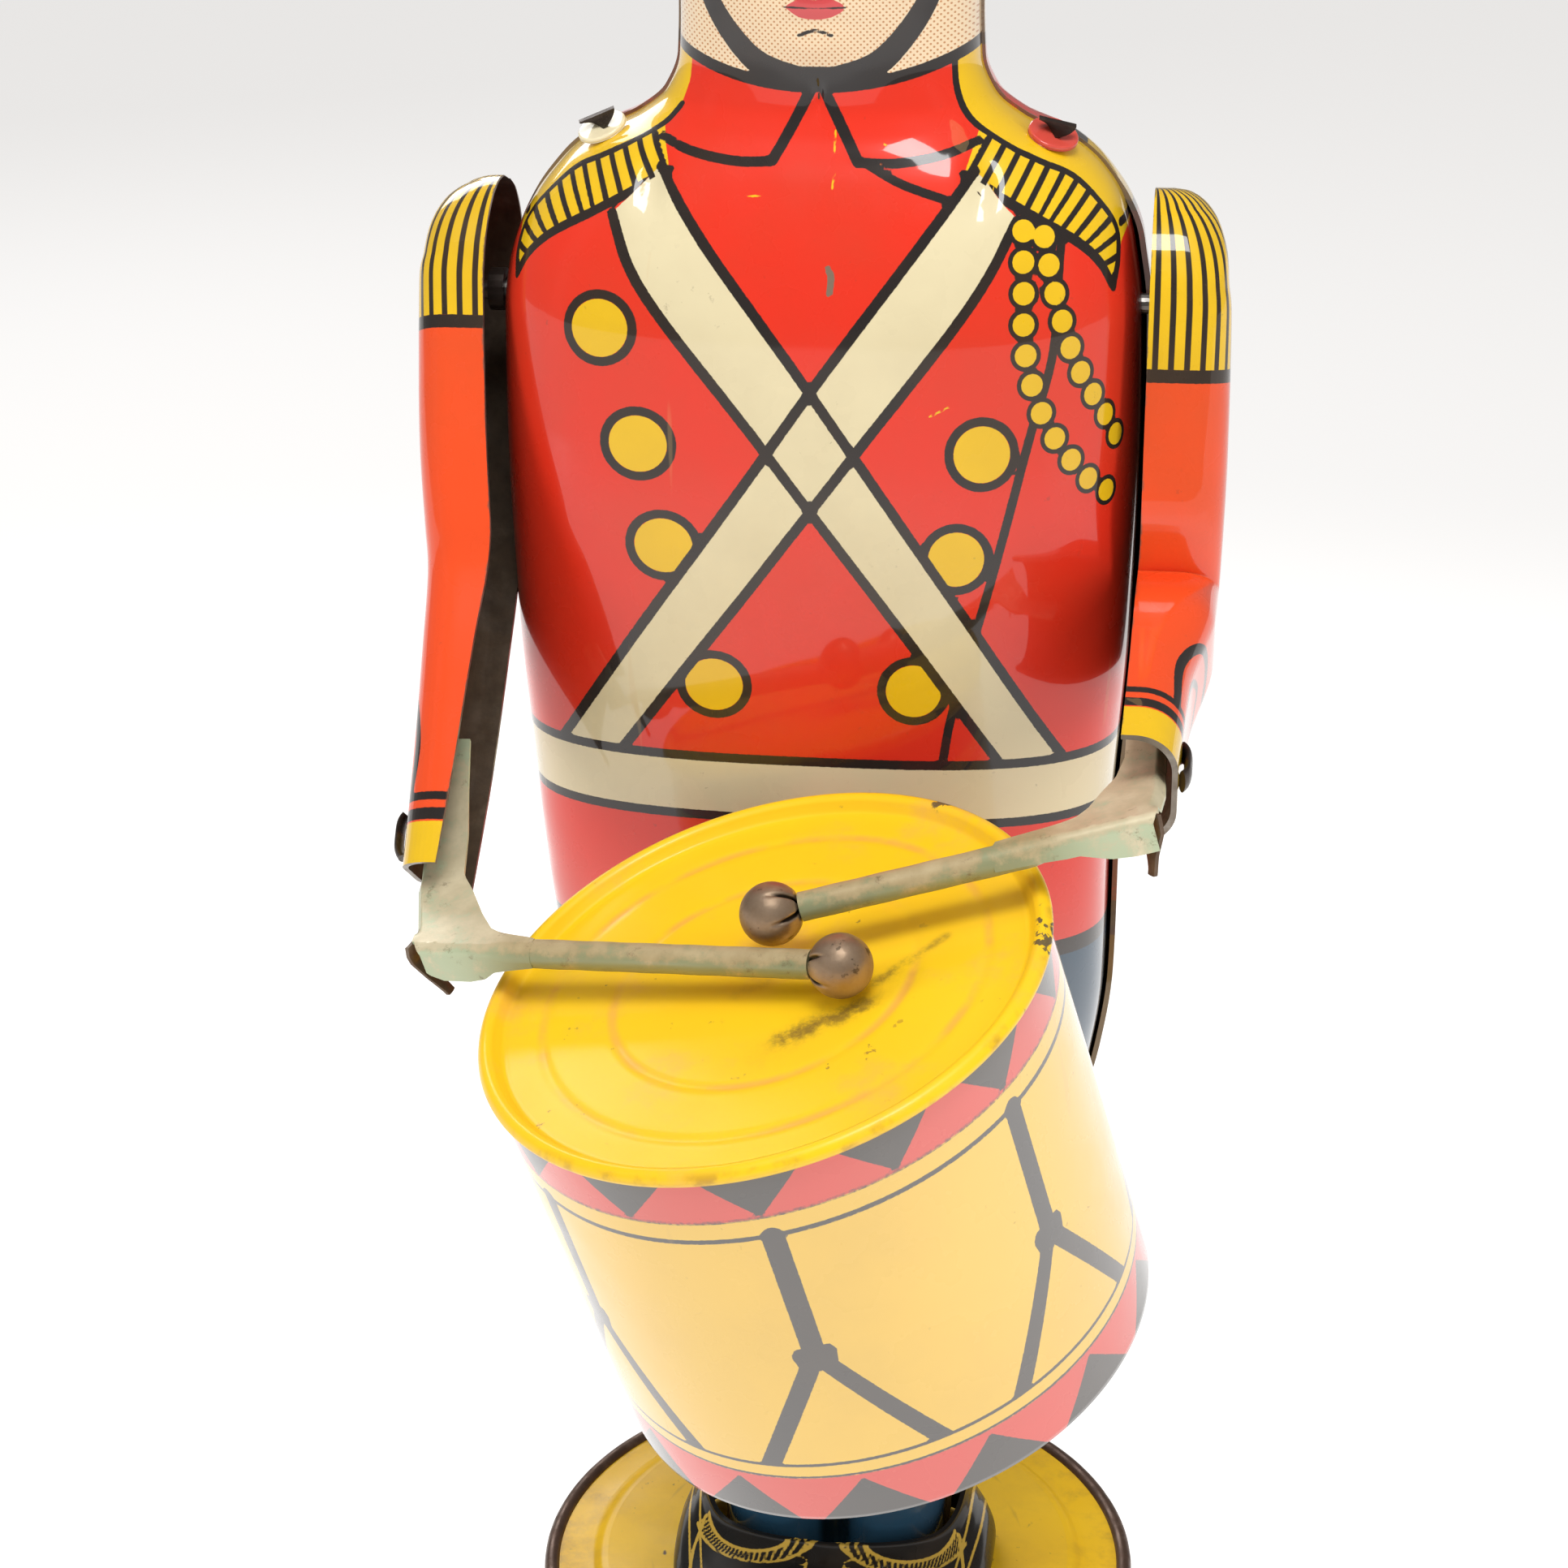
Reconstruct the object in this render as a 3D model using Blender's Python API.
"""Wind-up tin toy: a toy soldier who stands on a round base and beats a tilted drum.

The litho-printed tin body is two half shells round a spring motor. The motor hangs from two twisted
tabs on the shoulders. Cams on its upper shaft lift a finger on each arm shaft, and the arm falls back
on the drum. Sizes below are in millimetres. The origin is the centre of the base's underside, +Z is
up, the figure faces -Y, and its own right arm is on the -X side.
"""

import math

import bmesh
import bpy
from mathutils import Matrix, Vector

MM = 0.001
WALL = 0.8
GAP = 0.3
# Faces of a block whose corners run through x, then y, then z, each low before high.
BOX_FACES = ((0, 1, 3, 2), (4, 6, 7, 5), (0, 4, 5, 1), (2, 3, 7, 6), (0, 2, 6, 4), (1, 5, 7, 3))

# Base pan and its rolled rim.
BASE_RADIUS = 50.8
RIM_WIRE = 1.3
RIM_HEIGHT = 4.6
PAN_TOP = 6.4

# Body outline, from the trouser ends to the crown: height, half width, front depth, back depth and the
# squareness of the section (2 is an ellipse).
BODY_OUTLINE = (
    (8.6, 18.6, 11.6, 11.6, 2.6),
    (22, 19.2, 12.0, 12.0, 2.6),
    (60, 29.5, 14.5, 14.5, 2.8),
    (90, 36.8, 15.4, 16.5, 2.9),
    (107, 41.2, 17.5, 18.5, 3.0),
    (120, 42.9, 20.5, 20.5, 3.0),
    (147, 43.8, 24.0, 22.0, 3.0),
    (180, 45.8, 26.5, 22.5, 3.0),
    (205, 46.3, 27.5, 22.5, 3.0),
    (226, 45.9, 26.5, 22.2, 3.0),
    (236, 44.4, 25.0, 21.4, 2.9),
    (242, 42.4, 23.3, 20.4, 2.8),
    (247, 39.0, 21.2, 19.0, 2.6),
    (250.5, 34.8, 19.2, 17.8, 2.5),
    (253.5, 28.0, 17.6, 16.6, 2.4),
    (257, 23.6, 16.6, 16.0, 2.4),
    (262, 21.6, 16.8, 16.2, 2.3),
    (270, 21.3, 18.6, 18.0, 2.2),
    (284, 22.6, 20.6, 20.0, 2.2),
    (299, 22.8, 20.8, 20.4, 2.2),
    (301, 24.4, 22.4, 21.8, 2.2),
    (330, 25.0, 23.0, 22.6, 2.2),
    (340, 25.4, 23.4, 23.0, 2.2),
    (342.4, 24.6, 22.6, 22.2, 2.2),
    (343, 22.0, 20.2, 19.8, 2.2),
    (343.2, 10.0, 9.2, 9.0, 2.2),
    (343.3, 1.6, 1.5, 1.5, 2.2),
)
# The front half stops at y FRONT_EDGE. The back half laps over it, from BACK_EDGE, BACK_OFFSET outside.
FRONT_EDGE = 1.5
BACK_EDGE = -1.0
BACK_OFFSET = 1.4
SECTION_POINTS = 12
LONGEST_STEP = 26
SLOPE_STEP = 0.4
SHAFT_HOLE_RADIUS = 2.3
KEY_HOLE_RADIUS = 2.9

# Boots cover rings: height, half width, reach to the toes and reach to the heels.
BOOT_OUTLINE = (
    (7.0, 27.0, 37.0, 16.0),
    (9.5, 27.4, 37.4, 16.2),
    (13.0, 26.4, 33.5, 15.8),
    (16.5, 24.4, 24.0, 15.6),
    (19.5, 23.1, 17.0, 15.5),
    (23.5, 22.6, 15.0, 15.4),
)
BOOT_POINTS = 20
BOOT_SQUARENESS = 0.8

# Drum: the middle of its upper rim, its axis and its sizes.
DRUM_TOP = Vector((-1.6, -70.8, 150.9))
DRUM_AXIS = Vector((-0.240, -0.227, 0.944)).normalized()
DRUM_RADIUS = 39.4
DRUM_RIM_RADIUS = 40.9
DRUM_HEIGHT = 65.1
HEAD_DEPTH = 2.0
BRACKET_X = (2.0, 12.0)
BRACKET_Z = (101.0, 118.0)
BRACKET_GAP = (0.5, 1.1)

# Arms: the shaft's height and depth, and each arm's elbow, cuff, knuckle corner and ball.
SHOULDER = Vector((0, -2.0, 227.0))
SHAFT_RADIUS = 1.5
BALL_RADIUS = 4.4
STICK_RADIUS = 2.05
INNER_EDGE = 46.5
OUTER_FACE = 57.6
REAR_EDGE_STEP = 2.2
CAP_RADIUS = 16.5
CORNER_RADIUS = 6.0
# An octagon's corners lie this much further out than the middles of its sides.
OCTAGON = 1.08
ARMS = {
    "right": {
        "side": -1,
        "elbow": (-19.5, 188.0),
        "cuff": (-46.1, 151.2),
        "cuff_edges": (49.0, 57.0),
        "corner": Vector((-52.0, -62.0, 147.0)),
        "ball_xy": (10.3, -77.4),
        "ball_lift": 2.8,
    },
    "left": {
        "side": 1,
        "elbow": (-9.9, 185.0),
        "cuff": (-52.6, 171.9),
        "cuff_edges": (45.6, 53.4),
        "corner": Vector((50.4, -64.0, 172.0)),
        "ball_xy": (-0.2, -68.0),
        "ball_lift": 5.7,
    },
}

# Shoulder washers on the twisted tabs.
TAB_X = 31.9
TAB_Y = -7.0
WASHER_RADIUS = 3.6

# Motor: plates, and the places (x, z) of its arbors.
FRONT_PLATE = (-10.8, -10.0)
BACK_PLATE = (12.0, 12.8)
PLATE_HALF_WIDTH = 29.0
PLATE_BOTTOM = 148.0
PLATE_TOP = 241.0
PILLARS = ((-24, 153), (24, 153), (-24, 236.5), (24, 236.5))
WINDING = (0.0, 177.0)
SECOND = (-14.0, 197.7)
CAM = (0.0, 212.0)
GOVERNOR = (16.0, 219.1)
GREAT_TEETH, SECOND_PINION_TEETH = 40, 10
SECOND_TEETH, CAM_PINION_TEETH = 32, 8
DRIVE_TEETH, GOVERNOR_TEETH = 28, 7
CAM_RADIUS = 9.0
CAM_LIFT = 4.0
CAM_LOBES = 3
FRONT_CAM = (-8.6, -7.4)
REAR_CAM = (-6.2, -5.0)
PIVOT_RADIUS = 1.0
ARBOR_RADIUS = 1.5
WINDING_RADIUS = 2.2
SPRING_TURNS = 5
SPRING_PITCH = 2.5
SPRING_INNER = 3.6

PLAIN = {
    "red": ((0.72, 0.03, 0.015), 0.25, 0.0),
    "yellow": ((0.85, 0.55, 0.03), 0.25, 0.0),
    "cream": ((0.76, 0.68, 0.44), 0.3, 0.0),
    "black": ((0.02, 0.018, 0.018), 0.3, 0.0),
    "green": ((0.30, 0.42, 0.30), 0.45, 0.2),
    "bronze": ((0.22, 0.14, 0.09), 0.35, 1.0),
    "brown": ((0.10, 0.06, 0.045), 0.45, 0.3),
    "steel": ((0.45, 0.44, 0.42), 0.35, 1.0),
    "brass": ((0.72, 0.52, 0.22), 0.3, 1.0),
    "blued_steel": ((0.10, 0.12, 0.18), 0.3, 1.0),
}


# ---------------------------------------------------------------- objects and materials


def clear_scene():
    for obj in list(bpy.data.objects):
        bpy.data.objects.remove(obj)


def material(name):
    found = bpy.data.materials.get(name)
    if found:
        return found
    colour, roughness, metallic = PLAIN[name]
    made = bpy.data.materials.new(name)
    made.use_nodes = True
    shader = made.node_tree.nodes["Principled BSDF"]
    shader.inputs["Base Color"].default_value = (*colour, 1)
    shader.inputs["Roughness"].default_value = roughness
    shader.inputs["Metallic"].default_value = metallic
    return made


def empty_at(name, origin, x_axis=(1, 0, 0), y_axis=(0, 1, 0)):
    """An empty in the scene whose local axes the pieces below it use."""
    across, along = Vector(x_axis).normalized(), Vector(y_axis).normalized()
    up = across.cross(along)
    empty = bpy.data.objects.new(name, None)
    rotation = Matrix((across, along, up)).transposed().to_4x4()
    empty.matrix_world = Matrix.Translation(Vector(origin) * MM) @ rotation
    bpy.context.scene.collection.objects.link(empty)
    return empty


def arbor_empty(name, place):
    """Local X is world X, local Y is world Z and local Z is world -Y, so that plates lie across Y."""
    return empty_at(name, (place[0], 0, place[1]), (1, 0, 0), (0, 0, 1))


def axis_empty(name, start, direction):
    """An empty at start whose local Z runs along direction."""
    up = Vector(direction).normalized()
    helper = Vector((0, 0, 1)) if abs(up.z) < 0.9 else Vector((0, 1, 0))
    across = helper.cross(up).normalized()
    return empty_at(name, start, across, up.cross(across))


def link(name, data, parent, colour):
    obj = bpy.data.objects.new(name, data)
    bpy.context.scene.collection.objects.link(obj)
    obj.parent = parent
    data.materials.append(material(colour))
    return obj


def mesh_object(name, points, faces, parent, colour):
    """A smooth-shaded mesh from points in mm in the parent's frame."""
    mesh = bpy.data.meshes.new(name)
    mesh.from_pydata([tuple(c * MM for c in point) for point in points], [], faces)
    build = bmesh.new()
    build.from_mesh(mesh)
    bmesh.ops.remove_doubles(build, verts=build.verts, dist=1e-7)
    bmesh.ops.recalc_face_normals(build, faces=build.faces)
    if build.calc_volume(signed=True) < 0:
        bmesh.ops.reverse_faces(build, faces=build.faces)
    build.to_mesh(mesh)
    build.free()
    mesh.shade_smooth()
    mesh.set_sharp_from_angle(angle=math.radians(35))
    return link(name, mesh, parent, colour)


def world_points(points, parent):
    """World points in mm, as the parent's frame sees them."""
    inverse = parent.matrix_world.inverted()
    return [inverse @ (Vector(point) * MM) / MM for point in points]


def lathe(name, profile, parent, colour, steps=24):
    """A turned solid round local Z: profile is (radius, height), a closed ring or from axis to axis."""
    points, rings = [], []
    for radius, height in profile:
        count = 1 if radius == 0 else steps
        rings.append(range(len(points), len(points) + count))
        for i in range(count):
            turn = 2 * math.pi * i / steps
            points.append((radius * math.cos(turn), radius * math.sin(turn), height))
    faces = []
    closed = profile[0][0] > 0
    for k in range(len(rings) - (0 if closed else 1)):
        low, high = rings[k], rings[(k + 1) % len(rings)]
        for i in range(steps):
            j = (i + 1) % steps
            corners = (low[i % len(low)], low[j % len(low)], high[j % len(high)], high[i % len(high)])
            faces.append(tuple(dict.fromkeys(corners)))
    return mesh_object(name, points, faces, parent, colour)


def rod(name, radius, low, high, parent, colour, steps=16):
    return lathe(name, ((0, low), (radius, low), (radius, high), (0, high)), parent, colour, steps)


def ring(name, inner, outer, low, high, parent, colour, steps=24):
    profile = ((inner, low), (outer, low), (outer, high), (inner, high))
    return lathe(name, profile, parent, colour, steps)


def plate(name, loops, low, high, parent, colour):
    """A flat plate from local z low to high. The first loop is its outline and the others are holes."""
    curve = bpy.data.curves.new(name, "CURVE")
    curve.dimensions = "2D"
    curve.fill_mode = "BOTH"
    curve.extrude = (high - low) / 2 * MM
    for loop in loops:
        spline = curve.splines.new("POLY")
        spline.points.add(len(loop) - 1)
        spline.use_cyclic_u = True
        for point, (x, y) in zip(spline.points, loop):
            point.co = (x * MM, y * MM, 0, 1)
    obj = link(name, curve, parent, colour)
    obj.location.z = (low + high) / 2 * MM
    return obj


def sheet_solid(name, outer, inner, parent, colour, loop=False):
    """A closed sheet-metal solid between two grids of points, with its rims filled."""
    rows, columns = len(outer), len(outer[0])
    points = [point for grid in (outer, inner) for row in grid for point in row]
    skin = rows * columns

    def at(side, row, column):
        return side * skin + row * columns + column % columns

    faces = []
    spans = columns if loop else columns - 1
    for side in (0, 1):
        for r in range(rows - 1):
            for c in range(spans):
                quad = (at(side, r, c), at(side, r, c + 1), at(side, r + 1, c + 1), at(side, r + 1, c))
                faces.append(quad if side == 0 else quad[::-1])
    for r in (0, rows - 1):
        for c in range(spans):
            faces.append((at(0, r, c), at(1, r, c), at(1, r, c + 1), at(0, r, c + 1)))
    if not loop:
        for c in (0, columns - 1):
            for r in range(rows - 1):
                faces.append((at(0, r, c), at(0, r + 1, c), at(1, r + 1, c), at(1, r, c)))
    return mesh_object(name, points, faces, parent, colour)


def combine(target, operation, other):
    """A Boolean on target with a hidden tool object."""
    modifier = target.modifiers.new(other.name, "BOOLEAN")
    modifier.operation = operation
    modifier.object = other
    other.hide_render = True
    other.display_type = "WIRE"


def box(name, low, high, parent, colour="steel"):
    points = [(x, y, z) for x in (low[0], high[0]) for y in (low[1], high[1]) for z in (low[2], high[2])]
    return mesh_object(name, points, BOX_FACES, parent, colour)


def circle(radius, steps=16, centre=(0, 0)):
    turns = (2 * math.pi * i / steps for i in range(steps))
    return [(centre[0] + radius * math.cos(t), centre[1] + radius * math.sin(t)) for t in turns]


# ---------------------------------------------------------------- body shape


def between(table, key):
    """The row of the table at this key, on a smooth curve through the rows."""
    keys = [row[0] for row in table]
    i = max(k for k in range(len(keys) - 1) if keys[k] <= key or k == 0)
    span = keys[i + 1] - keys[i]
    t = min(max((key - keys[i]) / span, 0), 1)
    found = []
    for column in range(1, len(table[0])):
        a, b = table[i][column], table[i + 1][column]
        slope_a = row_slope(table, i, column) * span
        slope_b = row_slope(table, i + 1, column) * span
        rise = b - a
        square = 3 * rise - 2 * slope_a - slope_b
        cube = slope_a + slope_b - 2 * rise
        found.append(a + slope_a * t + square * t**2 + cube * t**3)
    return found


def row_slope(table, i, column):
    """A slope at row i that never overshoots its neighbours."""
    if i in (0, len(table) - 1):
        return 0.0
    before = (table[i][column] - table[i - 1][column]) / (table[i][0] - table[i - 1][0])
    after = (table[i + 1][column] - table[i][column]) / (table[i + 1][0] - table[i][0])
    return 0.0 if before * after <= 0 else 2 * before * after / (before + after)


def body_stations():
    """Heights of the body's rings: the outline's rows, with one between those that are far apart."""
    heights = []
    for row, after in zip(BODY_OUTLINE, BODY_OUTLINE[1:]):
        heights.append(row[0])
        if after[0] - row[0] > LONGEST_STEP:
            heights.append((row[0] + after[0]) / 2)
    return heights + [BODY_OUTLINE[-1][0]]


def body_section(height, offset, back):
    """One half ring of the body, moved out from the surface by offset. Its ends are on the seam."""
    width, front, rear, square = between(BODY_OUTLINE, height)
    up = between(BODY_OUTLINE, min(height + SLOPE_STEP, BODY_OUTLINE[-1][0]))[0]
    down = between(BODY_OUTLINE, max(height - SLOPE_STEP, BODY_OUTLINE[0][0]))[0]
    lean = math.atan2(down - up, 2 * SLOPE_STEP)
    width += offset * math.cos(lean)
    depth = (rear if back else front) + offset * math.cos(lean)
    level = height + offset * math.sin(lean)
    sign = 1 if back else -1
    edge = BACK_EDGE if back else FRONT_EDGE
    points = [(width, edge, level)]
    for i in range(SECTION_POINTS + 1):
        turn = math.pi * i / SECTION_POINTS
        across = math.copysign(abs(math.cos(turn)) ** (2 / square), math.cos(turn))
        deep = math.sin(turn) ** (2 / square) if 0 < i < SECTION_POINTS else 0.0
        points.append((width * across, sign * depth * deep, level))
    return points + [(-width, edge, level)]


def body_half(name, back, root):
    offset = BACK_OFFSET if back else 0.0
    outer = [body_section(z, offset, back) for z in body_stations()]
    inner = [body_section(z, offset - WALL, back) for z in body_stations()]
    return sheet_solid(name, outer, inner, root, "red")


def shell_height(x, y):
    """The height at which the front shell's shoulder passes through (x, y)."""
    low, high = 236.0, 258.0
    for _ in range(40):
        middle = (low + high) / 2
        width, front, _rear, square = between(BODY_OUTLINE, middle)
        inside = (abs(x) / width) ** square + (abs(y) / front) ** square < 1
        low, high = (middle, high) if inside else (low, middle)
    return low


def shoulder_normal(x, y):
    step = 0.5
    rise_x = (shell_height(x + step, y) - shell_height(x - step, y)) / (2 * step)
    rise_y = (shell_height(x, y + step) - shell_height(x, y - step)) / (2 * step)
    return Vector((-rise_x, -rise_y, 1)).normalized()


# ---------------------------------------------------------------- base, boots and body


def make_base(root):
    pan = (
        (0, PAN_TOP), (40.5, PAN_TOP), (43.0, 5.0), (47.9, 5.0), (47.9, GAP), (47.1, GAP),
        (47.1, 4.2), (42.7, 4.2), (40.2, PAN_TOP - WALL), (0, PAN_TOP - WALL),
    )
    lathe("base_disc", pan, root, "yellow", 48)
    rod("base_bottom_plate", 46.6, 0, WALL, root, "steel", 48)
    rim = circle(RIM_WIRE, 6, (BASE_RADIUS - RIM_WIRE, RIM_HEIGHT))
    lathe("base_rim_ring", rim, root, "brown", 48)


def boot_ring(row, offset):
    height, width, front, back = row
    points = []
    for i in range(BOOT_POINTS):
        turn = 2 * math.pi * i / BOOT_POINTS
        across = math.copysign(abs(math.cos(turn)) ** BOOT_SQUARENESS, math.cos(turn))
        along = math.copysign(abs(math.sin(turn)) ** BOOT_SQUARENESS, math.sin(turn))
        reach = front if along < 0 else back
        points.append((across * (width + offset), along * (reach + offset), height))
    return points


def make_boots(root):
    outer = [boot_ring(row, 0) for row in BOOT_OUTLINE]
    inner = [boot_ring(row, -WALL) for row in BOOT_OUTLINE]
    sheet_solid("boots_cover", outer, inner, root, "black", loop=True)


def make_body(root):
    front = body_half("front_shell", False, root)
    back = body_half("back_shell", True, root)
    for side in (-1, 1):
        outward = axis_empty(f"shaft_hole_axis_{side}", SHOULDER, (side, 0, 0))
        hole = rod(f"shaft_hole_{side}", SHAFT_HOLE_RADIUS, 40, 54, outward, "steel")
        combine(front, "DIFFERENCE", hole)
        combine(back, "DIFFERENCE", hole)
        x, top = side * TAB_X, shell_height(TAB_X, TAB_Y)
        low, high = (x - 0.9, TAB_Y - 2.6, top - 6), (x + 0.9, TAB_Y + 2.6, top + 6)
        slot = box(f"tab_slot_{side}", low, high, root)
        combine(front, "DIFFERENCE", slot)
    key_axis = arbor_empty("key_hole_axis", WINDING)
    combine(back, "DIFFERENCE", rod("key_hole", KEY_HOLE_RADIUS, -30, -16, key_axis, "steel"))


def make_washers(root):
    for name, side, colour in (("right", -1, "cream"), ("left", 1, "red")):
        spot = Vector((side * TAB_X, TAB_Y, shell_height(TAB_X, TAB_Y)))
        normal = shoulder_normal(side * TAB_X, TAB_Y)
        seat = axis_empty(f"washer_seat_{name}", spot + normal * 0.7, normal)
        washer = rod(f"shoulder_washer_{name}", WASHER_RADIUS, 0, 0.6, seat, colour, 24)
        low, high = spot + Vector((-0.75, -2.3, -5)), spot + Vector((0.75, 2.3, 7))
        combine(washer, "DIFFERENCE", box(f"washer_slot_{name}", low, high, root))


def make_hangers():
    """Motor side straps: a bearing for the arm shaft below, and above it the tab that the washer holds."""
    top = shell_height(TAB_X, TAB_Y) + 4.6
    outline = (
        (-9.5, 207), (11.5, 207), (11.5, 231), (2, 235), (TAB_Y + 2, 245), (TAB_Y + 2, top),
        (TAB_Y - 2, top), (TAB_Y - 2, 243), (-9.5, 234),
    )
    bearing = circle(SHAFT_RADIUS + GAP, 16, (SHOULDER.y, SHOULDER.z))
    for name, side in (("right", -1), ("left", 1)):
        frame = empty_at(f"hanger_frame_{name}", (side * TAB_X, 0, 0), (0, 1, 0), (0, 0, 1))
        plate(f"hanger_{name}", (outline, bearing), -0.4, 0.4, frame, "steel")


# ---------------------------------------------------------------- drum


def make_drum():
    seat = axis_empty("drum_seat", DRUM_TOP, DRUM_AXIS)
    bottom = -DRUM_HEIGHT
    ring("drum_shell", DRUM_RADIUS - WALL, DRUM_RADIUS, bottom, -3.2, seat, "yellow", 40)
    floor = -HEAD_DEPTH
    head = (
        (0, floor), (38.4, floor), (39.1, -0.5), (39.8, 0), (40.5, -0.2), (DRUM_RIM_RADIUS, -0.9),
        (DRUM_RIM_RADIUS, -2.6), (39.8, -2.6), (39.8, floor - WALL), (0, floor - WALL),
    )
    lathe("drum_head", head, seat, "yellow", 40)
    dish = (
        (0, bottom + 2.9), (37.3, bottom + 2.9), (37.3, bottom + 7), (38.1, bottom + 7),
        (38.1, bottom + 2.1), (0, bottom + 2.1),
    )
    lathe("drum_bottom", dish, seat, "brown", 40)


def drum_rear_line(z):
    """World Y of the drum wall's rearmost line at height z."""
    along = (z - DRUM_TOP.z) / DRUM_AXIS.z
    middle = DRUM_TOP.y + DRUM_AXIS.y * along
    return middle + DRUM_RADIUS / math.sqrt(1 - DRUM_AXIS.y**2)


def make_drum_bracket(root):
    """The strip between the belly and the back of the drum, parallel to the drum's wall."""
    (low_x, high_x), (low_z, high_z) = BRACKET_X, BRACKET_Z
    points = []
    for x in (low_x, high_x):
        for gap in BRACKET_GAP:
            points += [(x, drum_rear_line(z) + gap, z) for z in (low_z, high_z)]
    mesh_object("drum_bracket", points, BOX_FACES, root, "steel")


# ---------------------------------------------------------------- arms


def ball_centre(arm):
    """A point over the drum head's rim plane, ball_lift above it."""
    x, y = arm["ball_xy"]
    across = DRUM_AXIS.x * (x - DRUM_TOP.x) + DRUM_AXIS.y * (y - DRUM_TOP.y)
    return Vector((x, y, DRUM_TOP.z + (arm["ball_lift"] - across) / DRUM_AXIS.z))


def sleeve_stations(arm):
    """Rings of the sleeve: centre (y, z), direction, half depth, inner edge and outer face."""
    shoulder = Vector((SHOULDER.y, SHOULDER.z))
    elbow, cuff = Vector(arm["elbow"]), Vector(arm["cuff"])
    upper, fore = (elbow - shoulder).normalized(), (cuff - elbow).normalized()
    inner_cuff, outer_cuff = arm["cuff_edges"]
    stations = []
    for lift in (0.985, 0.9, 0.72, 0.4):
        half = math.sqrt(1 - lift**2)
        bulge = OUTER_FACE - 8.5 * (1 - half) ** 1.3
        spot = shoulder - upper * CAP_RADIUS * lift
        stations.append((spot, upper, 1.0 + 12.8 * half, INNER_EDGE, bulge))
    easing, bend, leaving = (upper * 2 + fore).normalized(), (upper + fore).normalized(), upper + fore * 3
    stations.append((shoulder, upper, 13.6, INNER_EDGE, OUTER_FACE + 0.4))
    stations.append((shoulder.lerp(elbow, 0.5), upper, 12.6, INNER_EDGE, OUTER_FACE + 0.8))
    stations.append((shoulder.lerp(elbow, 0.85), easing, 11.8, INNER_EDGE, OUTER_FACE + 0.6))
    elbow_crest = elbow + (upper - fore) * 1.2
    stations.append((elbow_crest, bend, 11.4, mix(INNER_EDGE, inner_cuff, 0.2), OUTER_FACE + 0.4))
    past_elbow = (elbow.lerp(cuff, 0.25), leaving.normalized(), 11.0)
    stations.append((*past_elbow, mix(INNER_EDGE, inner_cuff, 0.3), OUTER_FACE))
    forearm = (elbow.lerp(cuff, 0.6), fore, 10.2)
    stations.append((*forearm, mix(INNER_EDGE, inner_cuff, 0.5), mix(OUTER_FACE, outer_cuff, 0.7)))
    stations.append((cuff, fore, 9.6, inner_cuff, outer_cuff))
    return stations


def mix(a, b, share):
    return a + (b - a) * share


def sleeve_section(station, side, offset):
    """One U-shaped ring, open towards the body: front flange, outer face and rear flange."""
    centre, direction, half, inner, outer = station
    forward = Vector((direction.y, -direction.x))
    half, outer = half + offset, outer + offset
    radius = min(CORNER_RADIUS, half * 0.9, (outer - inner) * 0.8)
    profile = [(inner, half), ((inner + outer - radius) / 2, half)]
    for corner, start in (((outer - radius, half - radius), 90), ((outer - radius, radius - half), 0)):
        for i in range(5):
            turn = math.radians(start - 90 * i / 4)
            profile.append((corner[0] + radius * math.cos(turn), corner[1] + radius * math.sin(turn)))
    rear = (centre - forward * half).x
    inner += REAR_EDGE_STEP * min(max((rear + 7) / 6, 0), 1)
    profile += [((inner + outer - radius) / 2, -half), (inner, -half)]
    points = []
    for x, depth in profile:
        spot = centre + forward * depth
        points.append((side * x, spot.x, spot.y))
    return points


def make_sleeve(name, arm, pivot):
    stations = sleeve_stations(arm)
    outer = [world_points(sleeve_section(s, arm["side"], 0), pivot) for s in stations]
    inner = [world_points(sleeve_section(s, arm["side"], -WALL), pivot) for s in stations]
    sheet_solid(f"sleeve_{name}", outer, inner, pivot, "red")


def taper(name, start, end, low_size, high_size, pivot, across=(1, 0, 0)):
    """A flat-sided bar between two places, with half sizes (along across, and square to it) at each end."""
    direction = (end - start).normalized()
    side = (Vector(across) - direction * direction.dot(Vector(across))).normalized()
    other = direction.cross(side)
    points = []
    for middle, (half_a, half_b) in ((start, low_size), (end, high_size)):
        for i in range(8):
            turn = math.radians(22.5 + 45 * i)
            across_part = side * half_a * OCTAGON * math.cos(turn)
            points.append(middle + across_part + other * half_b * OCTAGON * math.sin(turn))
    faces = [tuple(range(8)), tuple(range(15, 7, -1))]
    faces += [(i, i + 8, (i + 1) % 8 + 8, (i + 1) % 8) for i in range(8)]
    return mesh_object(name, world_points(points, pivot), faces, pivot, "green")


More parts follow.
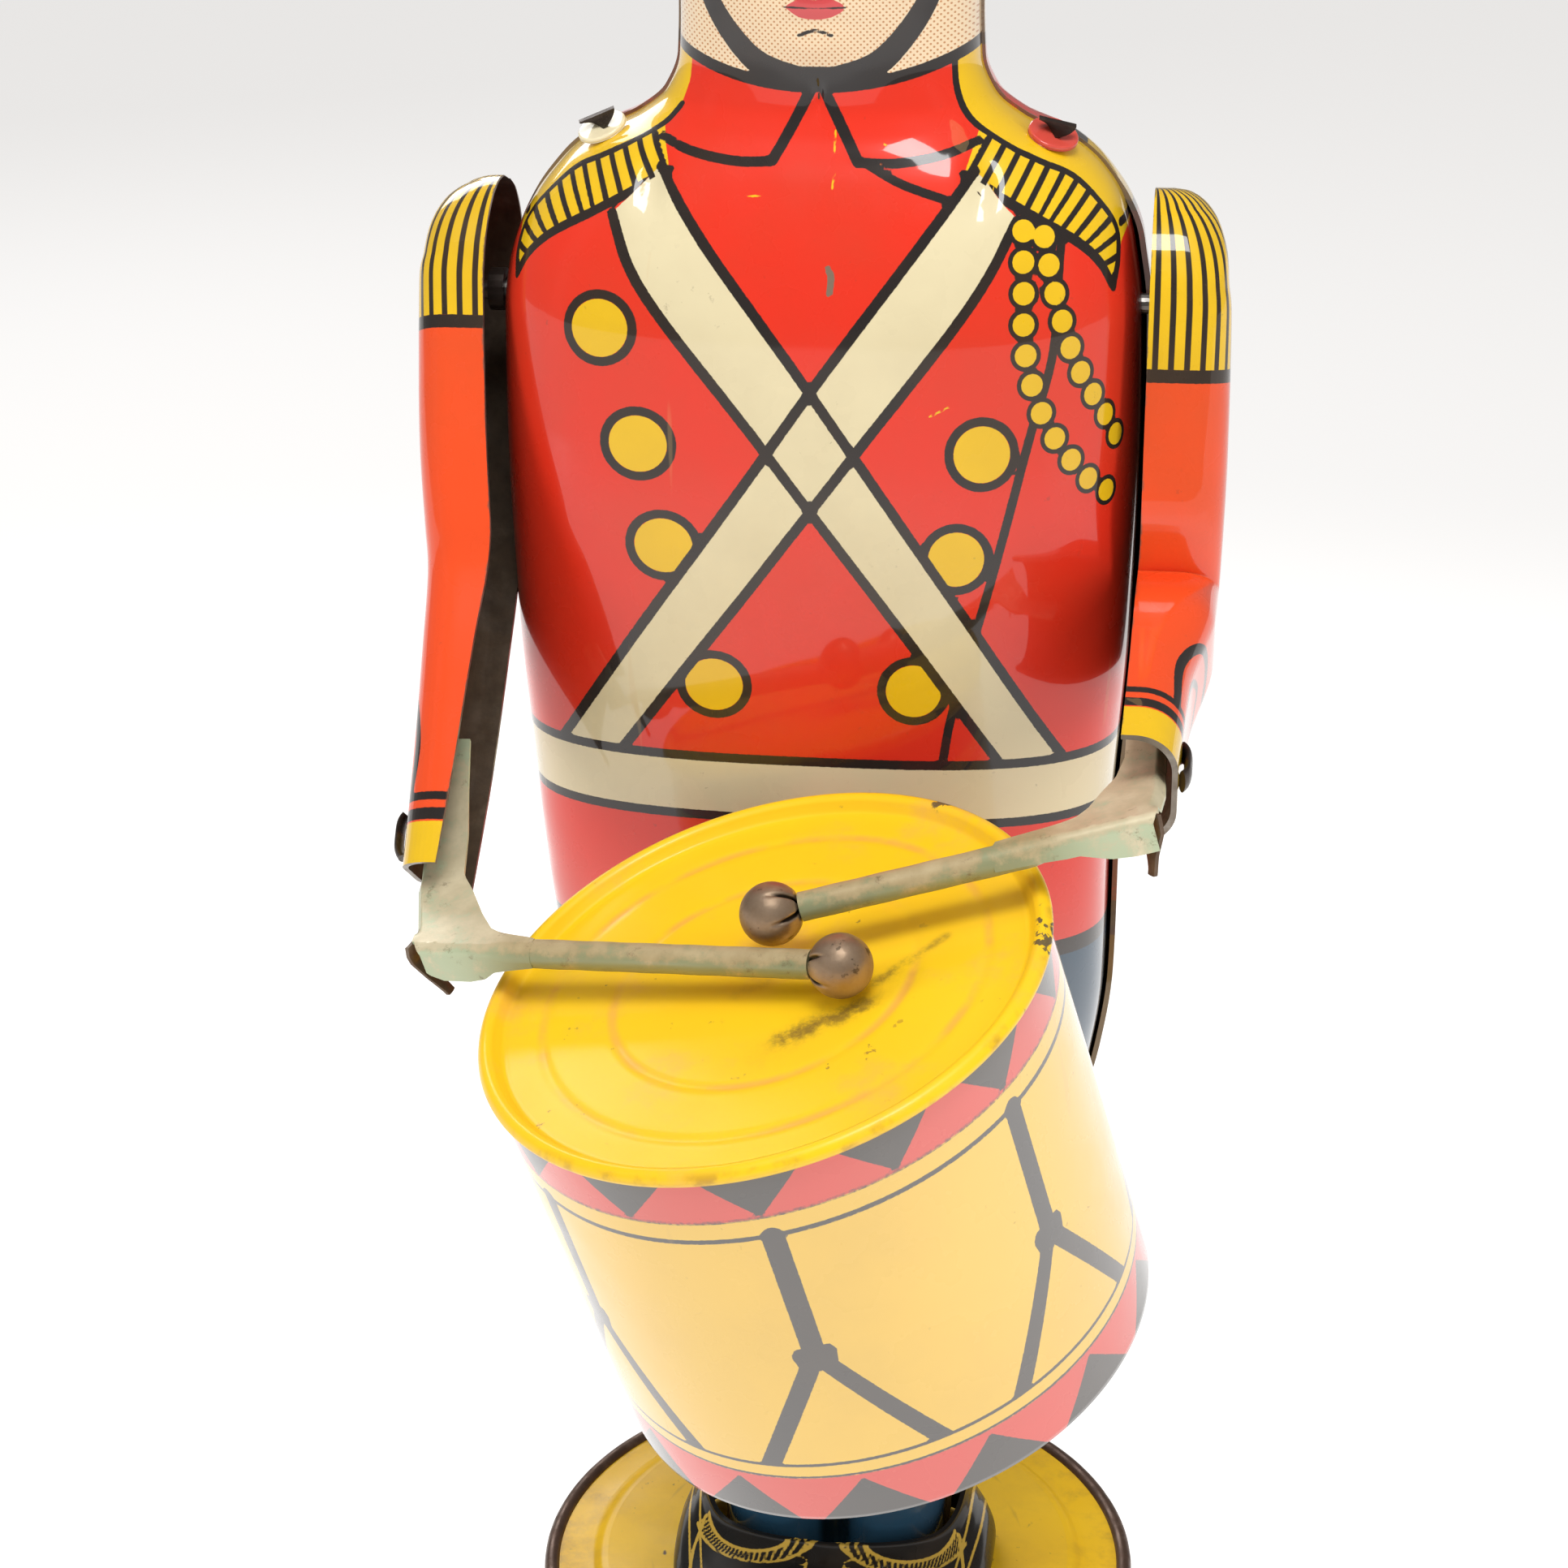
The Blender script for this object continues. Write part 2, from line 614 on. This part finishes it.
def make_hand(name, arm, pivot):
    """Hand and stick, one pressing: a wrist strip inside the cuff, a folded fist and the rolled stick."""
    side, corner, ball = arm["side"], arm["corner"], ball_centre(arm)
    inner_cuff, outer_cuff = arm["cuff_edges"]
    wrist = Vector((side * (inner_cuff + outer_cuff) / 2, arm["cuff"][0], arm["cuff"][1]))
    start = wrist.lerp(corner, -0.15)
    inward = (ball - corner).normalized()
    hand = taper(f"hand_stick_{name}", start, corner, (2.2, 3.8), (3.0, 3.2), pivot)
    heel, tip = corner - inward * 2.5, corner + inward * 15
    fist = taper(f"fist_{name}", heel, tip, (3.4, 3.4), (1.8, 1.8), pivot, (0, 1, 0))
    reach = (ball - corner).length - BALL_RADIUS - GAP
    stick_axis = axis_empty(f"stick_axis_{name}", corner, inward)
    stick = rod(f"stick_{name}", STICK_RADIUS, 8, reach, stick_axis, "green", 12)
    combine(hand, "UNION", fist)
    combine(hand, "UNION", stick)


def make_ball(name, arm, pivot):
    steps = 7
    turns = [math.pi * i / steps for i in range(steps + 1)]
    profile = [(BALL_RADIUS * math.sin(t), -BALL_RADIUS * math.cos(t)) for t in turns]
    profile[0], profile[-1] = (0, -BALL_RADIUS), (0, BALL_RADIUS)
    ball = lathe(f"ball_{name}", profile, pivot, "bronze", 12)
    ball.location = world_points([ball_centre(arm)], pivot)[0] * MM


def make_finger(name, side, layer):
    """The finger on the arm shaft that rides over a cam."""
    foot_front, foot_back = layer[0] - 0.2, layer[1] + 0.2
    hub = []
    for i in range(15):
        turn = math.radians(100 - 270 * i / 14)
        hub.append((SHOULDER.y + 3.2 * math.cos(turn), SHOULDER.z + 3.2 * math.sin(turn)))
    outline = hub + [(foot_back, 224.6), (foot_front, 224.6), (foot_front, 227.6)]
    frame = empty_at(f"finger_frame_{name}", (side * 5.6, 0, 0), (0, 1, 0), (0, 0, 1))
    bore = circle(SHAFT_RADIUS + GAP, 12, (SHOULDER.y, SHOULDER.z))
    plate(f"lift_finger_{name}", (outline, bore), -0.6, 0.6, frame, "steel")


def make_coil(name, radius, wire, pitch, turns, start, pivot, colour):
    """A wire coil round local X."""
    steps, sides = 8, 4
    points, faces = [], []
    count = steps * turns + 1
    for i in range(count):
        turn = 2 * math.pi * i / steps
        for k in range(sides):
            phase = 2 * math.pi * k / sides
            out = radius + wire * math.cos(phase)
            along = start + pitch * i / steps + wire * math.sin(phase)
            points.append((along, out * math.cos(turn), out * math.sin(turn)))
    for i in range(count - 1):
        for k in range(sides):
            a, b = i * sides + k, i * sides + (k + 1) % sides
            faces.append((a, b, b + sides, a + sides))
    faces += [tuple(range(sides)), tuple(range(len(points) - sides, len(points)))]
    return mesh_object(name, points, faces, pivot, colour)


def make_arms(root):
    for name, arm in ARMS.items():
        side = arm["side"]
        pivot = empty_at(f"shoulder_pivot_{name}", SHOULDER)
        make_sleeve(name, arm, pivot)
        make_hand(name, arm, pivot)
        make_ball(name, arm, pivot)
        along = axis_empty(f"shaft_axis_{name}", SHOULDER, (side, 0, 0))
        rod(f"arm_shaft_{name}", SHAFT_RADIUS, 4.5, 56.6, along, "steel", 16)
        make_finger(name, side, FRONT_CAM if side > 0 else REAR_CAM)
        ring(f"shoulder_bush_{name}", SHAFT_RADIUS + GAP, 3.15, 48.3, 50.6, along, "brown", 20)
        start = 20 if side > 0 else -26
        make_coil(f"arm_return_spring_{name}", 3.0, 0.35, 1.5, 4, start, pivot, "steel")


# ---------------------------------------------------------------- spring motor


def gear_loop(teeth, phase):
    """A toothed outline, module 1, with slim teeth: each has a root, a tip, a tip and a root corner."""
    pitch_radius = teeth / 2
    root, tip = pitch_radius - 1.15, pitch_radius + 0.75
    pitch = 2 * math.pi / teeth
    loop = []
    for i in range(teeth):
        middle = phase + i * pitch
        for radius, share in ((root, -0.29), (tip, -0.11), (tip, 0.11), (root, 0.29)):
            turn = middle + share * pitch
            loop.append((radius * math.cos(turn), radius * math.sin(turn)))
    return loop


def tooth_towards(place, other):
    """Phase that points a tooth from place at other."""
    return math.atan2(other[1] - place[1], other[0] - place[0])


def gap_towards(place, other, teeth):
    """Phase that points a tooth gap from place at other."""
    return tooth_towards(place, other) + math.pi / teeth


def cam_loop(phase):
    points = []
    for i in range(36):
        turn = 2 * math.pi * i / 36
        lift = max(0.0, math.cos(CAM_LOBES * (turn - phase))) ** 2
        radius = CAM_RADIUS + CAM_LIFT * lift
        points.append((radius * math.cos(turn), radius * math.sin(turn)))
    return points


def wheel(name, loop, bore, layer, parent, colour):
    """A wheel on an arbor, in a layer (front y, back y)."""
    plate(name, (loop, circle(bore, 12)), -layer[1], -layer[0], parent, colour)


def arbor(name, radius, parent, colour="steel"):
    """An arbor between the plates, with thinner pivots through their holes."""
    shoulder_low, shoulder_high = -BACK_PLATE[0] + GAP, -FRONT_PLATE[1] - GAP
    end_low, end_high = -BACK_PLATE[1] - 0.6, -FRONT_PLATE[0] + 0.6
    profile = (
        (0, end_low), (PIVOT_RADIUS, end_low), (PIVOT_RADIUS, shoulder_low), (radius, shoulder_low),
        (radius, shoulder_high), (PIVOT_RADIUS, shoulder_high), (PIVOT_RADIUS, end_high), (0, end_high),
    )
    lathe(name, profile, parent, colour, 12)


def make_motor_frame():
    frame = arbor_empty("motor_frame", (0, 0))
    half, low, high = PLATE_HALF_WIDTH, PLATE_BOTTOM, PLATE_TOP
    cut = 6
    outline = (
        (-half, low + cut), (cut - half, low), (half - cut, low), (half, low + cut),
        (half, high - cut), (half - cut, high), (cut - half, high), (-half, high - cut),
    )
    holes = [circle(PIVOT_RADIUS + GAP, 12, place) for place in (SECOND, CAM, GOVERNOR)]
    holes.append(circle(WINDING_RADIUS + GAP, 16, WINDING))
    for name, layer in (("motor_front_plate", FRONT_PLATE), ("motor_back_plate", BACK_PLATE)):
        plate(name, [outline, *holes], -layer[1], -layer[0], frame, "steel")
    for number, place in enumerate(PILLARS, 1):
        post = arbor_empty(f"pillar_axis_{number}", place)
        rod(f"motor_pillar_{number}", 1.9, -BACK_PLATE[0] + GAP, -FRONT_PLATE[1] - GAP, post, "brass", 12)


def make_mainspring():
    """The flat spiral spring, as one strip."""
    centre = arbor_empty("mainspring_axis", WINDING)
    steps = SPRING_TURNS * 12
    inside, outside = [], []
    for i in range(steps + 1):
        turn = 2 * math.pi * SPRING_TURNS * i / steps
        radius = SPRING_INNER + SPRING_PITCH * SPRING_TURNS * i / steps
        inside.append((radius * math.cos(turn), radius * math.sin(turn)))
        outside.append(((radius + 0.6) * math.cos(turn), (radius + 0.6) * math.sin(turn)))
    plate("mainspring", (outside + inside[::-1],), 3.2, 9.2, centre, "blued_steel")


def make_winding():
    pivot = arbor_empty("winding_pivot", WINDING)
    rod("winding_arbor", WINDING_RADIUS, -33, 11.6, pivot, "steel", 16)
    teeth, outer, inner = 16, 7.5, 6.1
    loop = []
    for i in range(teeth):
        turn = 2 * math.pi * i / teeth
        loop.append((outer * math.cos(turn), outer * math.sin(turn)))
        loop.append((inner * math.cos(turn + 0.05), inner * math.sin(turn + 0.05)))
    wheel("ratchet_wheel", loop, WINDING_RADIUS + GAP, (-1.9, -0.7), pivot, "steel")
    make_key(pivot)


def make_key(pivot):
    key = ring("winding_key", WINDING_RADIUS + GAP, 3.6, -34.5, -25.6, pivot, "steel", 20)
    across = empty_at("key_wing_frame", (WINDING[0], 0, WINDING[1]), (1, 0, 0), (0, 1, 0))
    loop = []
    for sign in (1, -1):
        for i in range(13):
            turn = math.radians(-140 + 280 * i / 12)
            loop.append((sign * (9.5 + 6.5 * math.cos(turn)), 40.5 + sign * 6.5 * math.sin(turn)))
    wing = prism("key_wings", loop, -0.7, 0.7, across, "steel")
    neck = rod("key_neck", 3.0, -41.5, -34.0, pivot, "steel", 16)
    for sign in (-1, 1):
        spot = empty_at(f"wing_hole_axis_{sign}", (WINDING[0] + sign * 9.8, 40.5, WINDING[1]))
        combine(wing, "DIFFERENCE", rod(f"wing_hole_{sign}", 3.4, -3, 3, spot, "steel"))
    combine(key, "UNION", neck)
    combine(key, "UNION", wing)


def prism(name, loop, low, high, parent, colour):
    count = len(loop)
    points = [(x, y, z) for z in (low, high) for x, y in loop]
    faces = [tuple(range(count)), tuple(range(2 * count - 1, count - 1, -1))]
    faces += [(i, (i + 1) % count, (i + 1) % count + count, i + count) for i in range(count)]
    return mesh_object(name, points, faces, parent, colour)


def make_great_wheel():
    pivot = arbor_empty("great_wheel_pivot", WINDING)
    loop = gear_loop(GREAT_TEETH, tooth_towards(WINDING, SECOND))
    wheel("great_wheel", loop, WINDING_RADIUS + GAP, (0.0, 1.6), pivot, "brass")
    click = ((7.9, 1.0), (9.2, -0.4), (14.6, -2.2), (16.2, -0.6), (15.6, 1.6), (13.2, 2.2), (9.0, 1.9))
    plate("click", (click,), 0.7, 1.9, pivot, "steel")
    spring = ((9.6, 3.4), (16.4, 4.6), (16.6, 5.4), (9.4, 4.1), (7.6, 8.6), (6.9, 8.3))
    plate("click_spring", (spring,), 0.7, 1.7, pivot, "steel")


def make_second_arbor():
    pivot = arbor_empty("second_pivot", SECOND)
    arbor("second_arbor", ARBOR_RADIUS, pivot)
    pinion = gear_loop(SECOND_PINION_TEETH, gap_towards(SECOND, WINDING, SECOND_PINION_TEETH))
    wheel("second_pinion", pinion, ARBOR_RADIUS + GAP, (-0.4, 3.4), pivot, "brass")
    loop = gear_loop(SECOND_TEETH, tooth_towards(SECOND, CAM))
    wheel("second_wheel", loop, ARBOR_RADIUS + GAP, (5.0, 6.2), pivot, "brass")


def make_cam_shaft():
    pivot = arbor_empty("cam_pivot", CAM)
    arbor("cam_arbor", ARBOR_RADIUS, pivot)
    pinion = gear_loop(CAM_PINION_TEETH, gap_towards(CAM, SECOND, CAM_PINION_TEETH))
    wheel("cam_pinion", pinion, ARBOR_RADIUS + GAP, (4.2, 7.0), pivot, "brass")
    wheel("front_cam", cam_loop(math.radians(90)), ARBOR_RADIUS + GAP, FRONT_CAM, pivot, "steel")
    wheel("rear_cam", cam_loop(math.radians(30)), ARBOR_RADIUS + GAP, REAR_CAM, pivot, "steel")
    loop = gear_loop(DRIVE_TEETH, tooth_towards(CAM, GOVERNOR))
    wheel("governor_drive_wheel", loop, ARBOR_RADIUS + GAP, (8.4, 9.6), pivot, "brass")


def make_governor():
    pivot = arbor_empty("governor_pivot", GOVERNOR)
    arbor("governor_arbor", 1.2, pivot)
    pinion = gear_loop(GOVERNOR_TEETH, gap_towards(GOVERNOR, CAM, GOVERNOR_TEETH))
    wheel("governor_pinion", pinion, 1.2 + GAP, (7.9, 10.2), pivot, "brass")
    blade, hub = 6.8, 2.2
    loop = [(blade, -0.5), (blade, 0.5), (hub, 0.5)]
    loop += [(hub * math.cos(math.radians(a)), hub * math.sin(math.radians(a))) for a in (45, 90, 135)]
    loop += [(-hub, 0.5), (-blade, 0.5), (-blade, -0.5), (-hub, -0.5)]
    loop += [(hub * math.cos(math.radians(a)), hub * math.sin(math.radians(a))) for a in (225, 270, 315)]
    loop.append((hub, -0.5))
    wheel("governor_vane", loop, 1.2 + GAP, (2.6, 7.2), pivot, "brass")


def make_key_bush():
    seat = arbor_empty("key_bush_axis", WINDING)
    ring("key_bush", WINDING_RADIUS + GAP, 5.2, -25.3, -24.3, seat, "brass", 24)


def main():
    clear_scene()
    root = empty_at("figure", (0, 0, 0))
    make_base(root)
    make_boots(root)
    make_body(root)
    make_washers(root)
    make_hangers()
    make_drum()
    make_drum_bracket(root)
    make_arms(root)
    make_motor_frame()
    make_mainspring()
    make_winding()
    make_great_wheel()
    make_second_arbor()
    make_cam_shaft()
    make_governor()
    make_key_bush()


main()
